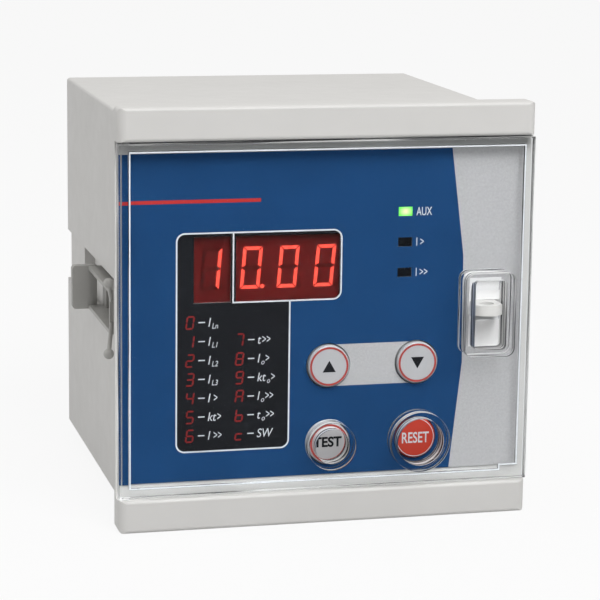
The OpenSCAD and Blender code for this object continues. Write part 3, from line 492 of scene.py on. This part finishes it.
def arc(x, z, radius, start, end):
    """Points of an arc, with angles in degrees."""
    steps = max(2, round(ARC_STEPS * abs(end - start) / 90))
    angles = [math.radians(start + (end - start) * i / steps) for i in range(steps + 1)]
    return [(x + radius * math.cos(a), z + radius * math.sin(a)) for a in angles]


def circle(x, z, radius):
    return arc(x, z, radius, 0, 360)[:-1]


def box(left, bottom, right, top):
    return [(left, bottom), (right, bottom), (right, top), (left, top)]


def stroke(path, width, closed=False):
    """Outline of a line of the given width along a path, with mitred corners."""

    def side(sign):
        points = []
        for i, here in enumerate(path):
            before = path[i - 1] if closed or i else None
            after = path[(i + 1) % len(path)] if closed or i + 1 < len(path) else None
            legs = [(a, b) for a, b in ((before, here), (here, after)) if a and b]
            ways = [(Vector(b) - Vector(a)).normalized() for a, b in legs]
            along = sum(ways, Vector((0, 0))).normalized()
            across = Vector((-along.y, along.x))
            reach = sign * width / 2 / max(SHARPEST_MITRE, along.dot(ways[0]))
            points.append(tuple(Vector(here) + across * reach))
        return points

    left, right = side(1), side(-1)
    return [left, right] if closed else [left + right[::-1]]


def inset(outline, distance):
    """The outline drawn in by a distance."""
    return min(stroke(outline, 2 * distance, closed=True), key=lambda side: max(x for x, _ in side))


DIGIT_SEGMENTS = {
    "0": "abcdef", "1": "bc", "2": "abdeg", "3": "abcdg", "4": "bcfg", "5": "acdfg", "6": "acdefg",
    "7": "abc", "8": "abcdefg", "9": "abcdfg", "A": "abcefg", "b": "cdefg", "c": "deg",
}


def seven_segments(sign, x, z, width, height, bar, slant):
    """Outlines of one sign made of slanted six-sided bars round the point x, z."""
    side, top, edge = bar / 2, (height - bar) / 2, (width - bar) / 2
    gap = bar * SEGMENT_GAP

    def level(v):
        reach = edge - gap
        return [(-reach, v), (side - reach, v + side), (reach - side, v + side),
                (reach, v), (reach - side, v - side), (side - reach, v - side)]

    def upright(u, low, high):
        low, high = low + gap, high - gap
        return [(u, low), (u + side, low + side), (u + side, high - side),
                (u, high), (u - side, high - side), (u - side, low + side)]

    bars = {
        "a": level(top), "b": upright(edge, 0, top), "c": upright(edge, -top, 0), "d": level(-top),
        "e": upright(-edge, -top, 0), "f": upright(-edge, 0, top), "g": level(0),
    }
    lean = math.tan(math.radians(slant))
    return [[(x + u + v * lean, z + v) for u, v in bars[s]] for s in DIGIT_SEGMENTS[sign]]


# Print: thin sheets of ink laid on a front face

CAPITAL_SHARE = 0.69  # height of a capital beside the size of the type


def sheet_mesh(curve, thickness):
    """Mesh of a flat filled curve, its back on z = 0."""
    curve.extrude = thickness * MM / 2
    holder = bpy.data.objects.new(curve.name, curve)
    bpy.context.scene.collection.objects.link(holder)
    mesh = bpy.data.meshes.new_from_object(holder.evaluated_get(bpy.context.evaluated_depsgraph_get()))
    bpy.data.objects.remove(holder)
    mesh.transform(Matrix.Translation((0, 0, thickness * MM / 2)))
    return mesh


def filled(outlines, thickness):
    """Sheet inside the outlines; an outline inside another one is a hole."""
    curve = bpy.data.curves.new("outline", "CURVE")
    curve.dimensions = "2D"
    curve.fill_mode = "BOTH"
    for outline in outlines:
        line = curve.splines.new("POLY")
        line.use_cyclic_u = True
        line.points.add(len(outline) - 1)
        for point, (x, z) in zip(line.points, outline):
            point.co = (x * MM, z * MM, 0, 1)
    return sheet_mesh(curve, thickness)


def lettered(text, x, z, height, thickness, squeeze=0.82, slant=0.0, weight=0.0, align="LEFT"):
    """Sheet of lettering with capitals of the given height, level with z at half height."""
    curve = bpy.data.curves.new("lettering", "FONT")
    curve.body = text
    curve.size = height / CAPITAL_SHARE * MM
    curve.shear = slant
    curve.offset = weight * MM
    curve.align_x = align
    mesh = sheet_mesh(curve, thickness)
    mesh.transform(Matrix.Diagonal((squeeze, 1, 1, 1)))
    mesh.transform(Matrix.Translation((x * MM, (z - height / 2) * MM, 0)))
    return mesh


def right_edge(mesh):
    return max(v.co.x for v in mesh.vertices) / MM


def lay(name, meshes, depth, material, body):
    """Joins sheets into one piece that lies on the front face at the given depth."""
    joined = bmesh.new()
    for mesh in meshes:
        joined.from_mesh(mesh)
        bpy.data.meshes.remove(mesh)
    joined.transform(Matrix.Translation((0, depth, 0)) @ Matrix.Rotation(math.pi / 2, 4, "X"))
    result = bpy.data.meshes.new(name)
    joined.to_mesh(result)
    joined.free()
    result.materials.append(material)
    piece = bpy.data.objects.new(name, result)
    bpy.context.scene.collection.objects.link(piece)
    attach(piece, body)


# The printed fascia: fields of colour, then the dark panel, then lines and lettering on top

film_low, film_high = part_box("fascia_overlay")
FILM_LEFT, FILM_BOTTOM, FILM_TOP = film_low.x / MM, film_low.z / MM, film_high.z / MM
film_front = film_low.y  # in metres, as the frame gives it
FIELD, PANEL, LETTERING = INK, 2 * INK, 3 * INK

BLUE_EDGE_X, BLUE_EDGE_Z, BLUE_EDGE_R = 33.0, -2.5, 215.0

PANEL_LEFT, PANEL_RIGHT, PANEL_TOP = -34.3, 3.6, 19.4
DISPLAY_BOTTOM = 3.5
LEGEND_RIGHT, LEGEND_BOTTOM = -8.3, -30.6
PANEL_R = 1.9
DIVIDER_X = -21.4
LINE_W = 0.34

STRIPE_Z, STRIPE_H, STRIPE_END = 26.6, 0.8, -15.2
BRIDGE_REACH = 70  # degrees of a key's opening, up and down from its middle, that the bridge meets

LEGEND_TOP, LEGEND_PITCH = -0.8, 4.35
LEGEND_H, LEGEND_W, LEGEND_BAR, LEGEND_SLANT = 3.1, 1.9, 0.36, 8.0
DASH_L, DASH_H, DASH_GAP = 1.5, 0.24, 0.6
MARK_H, MARK_SLANT, MARK_GAP = 2.0, 0.22, 0.15
INDEX_H, INDEX_DROP = 1.25, 0.85
SIGN_SQUEEZE = 0.6

# Columns of the legend: place across, first row, and each row's digit, symbol, index and sign
LEGEND_COLUMNS = (
    (-31.2, 0, (("0", "I", "Ln", ""), ("1", "I", "L1", ""), ("2", "I", "L2", ""), ("3", "I", "L3", ""),
                ("4", "I", "", " >"), ("5", "kt", "", ">"), ("6", "I", "", " >>"))),
    (-19.8, 1, (("7", "t", "", ">>"), ("8", "I", "o", ">"), ("9", "kt", "o", ">"), ("A", "I", "o", ">>"),
                ("b", "t", "o", ">>"), ("c", "SW", "", ""))),
)
LED_LABELS = {"aux_led": "AUX", "start_led": "I >", "trip_led": "I >>"}
LED_LABEL_GAP, LED_LABEL_H, LED_LABEL_SQUEEZE = 0.9, 1.9, 0.64


def film_print(name, meshes, material):
    lay(name, meshes, film_front, material, "housing")


def film_openings():
    return outlines_at("fascia_overlay", film_front)[1:]


def film_holes():
    """Outlines of the openings that the blue print has to leave free."""
    return [hole for hole in film_openings() if max(x for x, _ in hole) < BLUE_EDGE_X]


def film_hole_round(node):
    """Opening of the film round the middle of a node."""
    x, z = centre_of(node)

    def reaches_round(hole):
        across, up = zip(*hole)
        return min(across) < x < max(across) and min(up) < z < max(up)

    return next(hole for hole in film_openings() if reaches_round(hole))


def panel_outline():
    """Outline of the dark panel round the display and the legend."""
    r = PANEL_R
    return (
        arc(PANEL_LEFT + r, PANEL_TOP - r, r, 180, 90)
        + arc(PANEL_RIGHT - r, PANEL_TOP - r, r, 90, 0)
        + arc(PANEL_RIGHT - r, DISPLAY_BOTTOM + r, r, 0, -90)
        + [(LEGEND_RIGHT, DISPLAY_BOTTOM)]
        + arc(LEGEND_RIGHT - r, LEGEND_BOTTOM + r, r, 0, -90)
        + arc(PANEL_LEFT + r, LEGEND_BOTTOM + r, r, 270, 180)
    )


def blue_outline():
    """Left part of the film, ending in a wide arc on the right."""
    centre_x = BLUE_EDGE_X - BLUE_EDGE_R

    def angle(z):
        return math.degrees(math.asin((z - BLUE_EDGE_Z) / BLUE_EDGE_R))

    edge = arc(centre_x, BLUE_EDGE_Z, BLUE_EDGE_R, angle(FILM_BOTTOM), angle(FILM_TOP))
    return [(FILM_LEFT, FILM_TOP), (FILM_LEFT, FILM_BOTTOM)] + edge


def bridge_outline():
    """Silver field between the openings of the two arrow keys."""
    (left, z), (right, _) = centre_of("up_key"), centre_of("down_key")
    hole_r = max(x for x, _ in film_hole_round("up_key")) - left
    left_end = arc(left, z, hole_r, -BRIDGE_REACH, BRIDGE_REACH)
    return left_end + arc(right, z, hole_r, 180 - BRIDGE_REACH, 180 + BRIDGE_REACH)


def print_fields(materials):
    holes = film_holes()
    windows = [hole for hole in holes if min(x for x, _ in hole) < LEGEND_RIGHT]
    stripe = box(FILM_LEFT, STRIPE_Z - STRIPE_H / 2, STRIPE_END, STRIPE_Z + STRIPE_H / 2)
    film_print("blue_field", [filled([blue_outline(), *holes], FIELD)], materials["blue_ink"])
    film_print("dark_panel", [filled([panel_outline(), *windows], PANEL)], materials["black_ink"])
    film_print("red_stripe", [filled([stripe], PANEL)], materials["red_ink"])
    film_print("key_bridge", [filled([bridge_outline()], PANEL)], materials["silver_film"])


def print_lines(materials):
    divider = [(DIVIDER_X, PANEL_TOP), (DIVIDER_X, DISPLAY_BOTTOM), (LEGEND_RIGHT, DISPLAY_BOTTOM)]
    outlines = (stroke(panel_outline(), LINE_W, closed=True), stroke(divider, LINE_W))
    film_print("white_lines", [filled(line, LETTERING) for line in outlines], materials["white_ink"])


def legend_mark(x, z, symbol, index, sign):
    """One symbol of the legend with its small index and its sign."""
    style = dict(thickness=LETTERING, slant=MARK_SLANT)
    made = [lettered(symbol, x, z, MARK_H, **style)]
    x = right_edge(made[-1]) + MARK_GAP
    if index:
        made.append(lettered(index, x, z - INDEX_DROP, INDEX_H, **style))
        x = right_edge(made[-1]) + MARK_GAP
    if sign:
        made.append(lettered(sign, x, z, MARK_H, LETTERING, squeeze=SIGN_SQUEEZE))
    return made


def led_label(led, text):
    """Name of an indicator, to the right of its opening."""
    edge = max(x for x, _ in film_hole_round(led))
    z = centre_of(led)[1]
    return lettered(text, edge + LED_LABEL_GAP, z, LED_LABEL_H, LETTERING, squeeze=LED_LABEL_SQUEEZE)


def print_legend(materials):
    digits, marks = [], []
    for x, first_row, rows in LEGEND_COLUMNS:
        for i, (digit, symbol, index, sign) in enumerate(rows):
            z = LEGEND_TOP - (first_row + i) * LEGEND_PITCH
            bars = seven_segments(digit, x, z, LEGEND_W, LEGEND_H, LEGEND_BAR, LEGEND_SLANT)
            digits += [filled([bar], LETTERING) for bar in bars]
            dash = x + LEGEND_W
            marks.append(filled([box(dash, z - DASH_H / 2, dash + DASH_L, z + DASH_H / 2)], LETTERING))
            marks += legend_mark(dash + DASH_L + DASH_GAP, z, symbol, index, sign)
    marks += [led_label(led, text) for led, text in LED_LABELS.items()]
    film_print("legend_digits", digits, materials["legend_red"])
    film_print("legend_marks", marks, materials["white_ink"])


# Print on the keys, and a painted highlight on the reset key's rim

RING_R, RING_W = 4.5, 0.46
# Painted highlight: a white ring on the rounded rim of the reset key
RIM_HIGHLIGHT_R, RIM_HIGHLIGHT_W = 4.5, 0.15
ARROW_W, ARROW_H = 3.1, 2.7
TEST_H, TEST_SQUEEZE, TEST_WEIGHT = 2.2, 0.95, 0.11
RESET_H, RESET_SQUEEZE, RESET_WEIGHT = 2.45, 0.7, 0.05


def key_print(name, mesh, key, material):
    lay(name, [mesh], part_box(key)[0].y, material, key)


def ring(key, radius, width):
    x, z = centre_of(key)
    return filled([circle(x, z, radius), circle(x, z, radius - width)], INK)


def arrow(key, way):
    """Arrow on a key that points up (1) or down (-1)."""
    x, z = centre_of(key)
    base, tip = z - way * ARROW_H / 2, z + way * ARROW_H / 2
    return filled([[(x - ARROW_W / 2, base), (x + ARROW_W / 2, base), (x, tip)]], INK)


def word(key, text, height, squeeze, weight):
    return lettered(text, *centre_of(key), height, INK, squeeze=squeeze, weight=weight, align="CENTER")


def print_keys(materials):
    for key in ("up_key", "down_key", "test_key"):
        key_print(f"{key}_ring", ring(key, RING_R, RING_W), key, materials["ring_red"])
    for key, way in (("up_key", 1), ("down_key", -1)):
        key_print(f"{key}_arrow", arrow(key, way), key, materials["black_ink"])
    test = word("test_key", "TEST", TEST_H, TEST_SQUEEZE, TEST_WEIGHT)
    key_print("test_key_word", test, "test_key", materials["black_ink"])
    reset = word("reset_key", "RESET", RESET_H, RESET_SQUEEZE, RESET_WEIGHT)
    key_print("reset_key_word", reset, "reset_key", materials["white_ink"])
    # Painted highlight on the reset key's rounded rim, in white ink
    rim_highlight = ring("reset_key", RIM_HIGHLIGHT_R, RIM_HIGHLIGHT_W)
    key_print("reset_key_rim_highlight", rim_highlight, "reset_key", materials["white_ink"])


# Painted highlight: an opaque white bead in the inner corner of the cover, where its walls meet the front
# plate, stands in for the bright line the clear corner catches

HIGHLIGHT_BEAD_W, HIGHLIGHT_BEAD_GAP = 0.3, 0.03


def make_highlight_bead(materials):
    back = widest_face("cover", 1)
    corner = outlines_at("cover", back)[0]
    highlight_bead = filled([inset(corner, HIGHLIGHT_BEAD_GAP), inset(corner, HIGHLIGHT_BEAD_GAP + HIGHLIGHT_BEAD_W)], HIGHLIGHT_BEAD_W)
    depth = back + (HIGHLIGHT_BEAD_GAP + HIGHLIGHT_BEAD_W) * MM
    lay("cover_highlight_bead", [highlight_bead], depth, materials["painted_highlight_white"], "cover")


# Studio, in metres and watts

FLOOR_REACH, FLOOR_ROUGHNESS = 4.0, 0.9
HORIZON_LIGHT, ZENITH_LIGHT = 0.45, 0.85
FRONT_SHARE, BACK_SHARE = 0.35, 1.2  # of that light, in front of the relay and behind it

# Share of the floor's shading that gives way to a plain glow, and its strength, for each kind of ray
PAPER_GLOW = (
    ("Is Camera Ray", 0.9, 1.0),
    ("Is Glossy Ray", 1.0, 0.7),
    ("Is Transmission Ray", 1.0, 0.75),
)

# Name, place, width, height and power
LAMPS = (
    ("key_light", (0.12, -0.6, 0.72), 0.6, 0.6, 7.8),
    ("left_strip", (-0.75, 0.3, 0.3), 0.3, 0.8, 1.4),
)


def lit_for(tree, shader, kind_of_ray, share, glow):
    """Replaces a share of the shader by a plain glow, for one kind of ray only."""
    emission = tree.nodes.new("ShaderNodeEmission")
    emission.inputs["Strength"].default_value = glow
    amount = calculate(tree, "MULTIPLY", kind_of_ray, share)
    return blend(tree, amount, shader, emission.outputs[0])


def floor_paper():
    material, tree, shader = new_material("floor_paper")
    shader.inputs["Base Color"].default_value = FLOOR_WHITE
    shader.inputs["Roughness"].default_value = FLOOR_ROUGHNESS
    path = tree.nodes.new("ShaderNodeLightPath")
    paper = shader.outputs[0]
    for kind, share, glow in PAPER_GLOW:
        paper = lit_for(tree, paper, path.outputs[kind], share, glow)
    tree.links.new(paper, tree.nodes["Material Output"].inputs["Surface"])
    return material


def make_floor():
    mesh = bpy.data.meshes.new("floor")
    shape = bmesh.new()
    bmesh.ops.create_grid(shape, x_segments=1, y_segments=1, size=FLOOR_REACH)
    shape.to_mesh(mesh)
    shape.free()
    mesh.materials.append(floor_paper())
    floor = bpy.data.objects.new("floor", mesh)
    floor.location.z = cad_low.z
    bpy.context.scene.collection.objects.link(floor)


def make_world():
    """Soft light from all round, brighter above and behind, with a plain backdrop for the camera."""
    world = bpy.data.worlds.new("studio")
    bpy.context.scene.world = world
    world.use_nodes = True
    tree = world.node_tree
    way = split(tree, "Generated")
    height = spread(tree, way["Z"], 0.0, 1.0, HORIZON_LIGHT, ZENITH_LIGHT)
    depth = spread(tree, way["Y"], -1.0, 1.0, FRONT_SHARE, BACK_SHARE)
    room = tree.nodes["Background"]
    room.inputs["Color"].default_value = ROOM_WHITE
    tree.links.new(calculate(tree, "MULTIPLY", height, depth), room.inputs["Strength"])
    backdrop = tree.nodes.new("ShaderNodeBackground")
    backdrop.inputs["Color"].default_value = BACKDROP_WHITE
    path = tree.nodes.new("ShaderNodeLightPath")
    shown = blend(tree, path.outputs["Is Camera Ray"], room.outputs[0], backdrop.outputs[0])
    tree.links.new(shown, tree.nodes["World Output"].inputs["Surface"])


def make_lamp(name, place, width, height, power):
    """Flat lamp that looks at the frame's origin."""
    lamp = bpy.data.lights.new(name, "AREA")
    lamp.shape = "RECTANGLE"
    lamp.size = width
    lamp.size_y = height
    lamp.energy = power
    holder = bpy.data.objects.new(name, lamp)
    holder.location = place
    holder.rotation_mode = "QUATERNION"
    holder.rotation_quaternion = (-Vector(place)).to_track_quat("-Z", "Y")
    bpy.context.scene.collection.objects.link(holder)


def make_camera():
    azimuth, elevation, roll = (math.radians(a) for a in (AZIMUTH, ELEVATION, ROLL))
    back = Vector((
        math.sin(azimuth) * math.cos(elevation),
        -math.cos(azimuth) * math.cos(elevation),
        math.sin(elevation),
    ))
    level_right = (-back).cross(Vector((0, 0, 1))).normalized()
    level_up = level_right.cross(-back)
    right = level_right * math.cos(roll) + level_up * math.sin(roll)
    up = level_up * math.cos(roll) - level_right * math.sin(roll)
    front_centre = Vector((0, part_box("front_bezel")[0].y, 0))
    place = front_centre + (back * CAMERA_DISTANCE + right * CAMERA_RIGHT + up * CAMERA_UP) * MM
    camera = bpy.data.objects.new("camera", bpy.data.cameras.new("camera"))
    camera.data.sensor_width = SENSOR
    camera.data.lens = SENSOR * FOCAL_PX / IMAGE_PX
    camera.data.clip_start = NEAREST_SEEN * MM
    turned = Matrix((right, up, back)).transposed().to_4x4()
    camera.matrix_world = Matrix.Translation(place) @ turned
    bpy.context.scene.collection.objects.link(camera)
    bpy.context.scene.camera = camera


def make_studio():
    bpy.context.scene.view_settings.view_transform = "Standard"
    make_floor()
    make_world()
    for lamp in LAMPS:
        make_lamp(*lamp)
    make_camera()


materials = make_materials()
dress_nodes(materials)
print_fields(materials)
print_lines(materials)
print_legend(materials)
print_keys(materials)
make_highlight_bead(materials)
make_studio()
